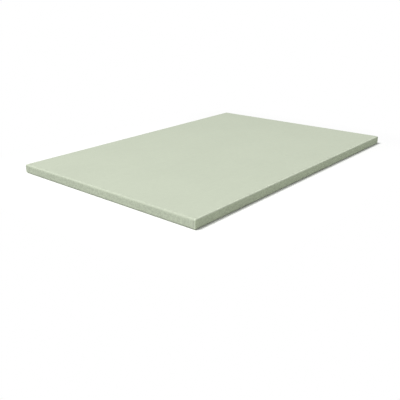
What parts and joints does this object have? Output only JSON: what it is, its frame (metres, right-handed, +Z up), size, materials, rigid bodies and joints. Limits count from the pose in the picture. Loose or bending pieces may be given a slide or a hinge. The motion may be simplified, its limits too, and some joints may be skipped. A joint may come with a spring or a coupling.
{
  "type": "drywall sheet",
  "caption": "Flat rectangular moisture-resistant gypsum board with rounded edges, for lining walls and ceilings.",
  "frame": {"origin": "middle of the back face, which the sheet lies on", "axes": "+X along the long edges, +Y across the width, +Z up through the thickness, from the back face to the front face"},
  "size_m": [0.9, 0.625, 0.025],
  "materials": {
    "green_face_paper": "matte"
  },
  "bodies": {
    "root": {"drywall_sheet": "green_face_paper"}
  },
  "joints": []
}
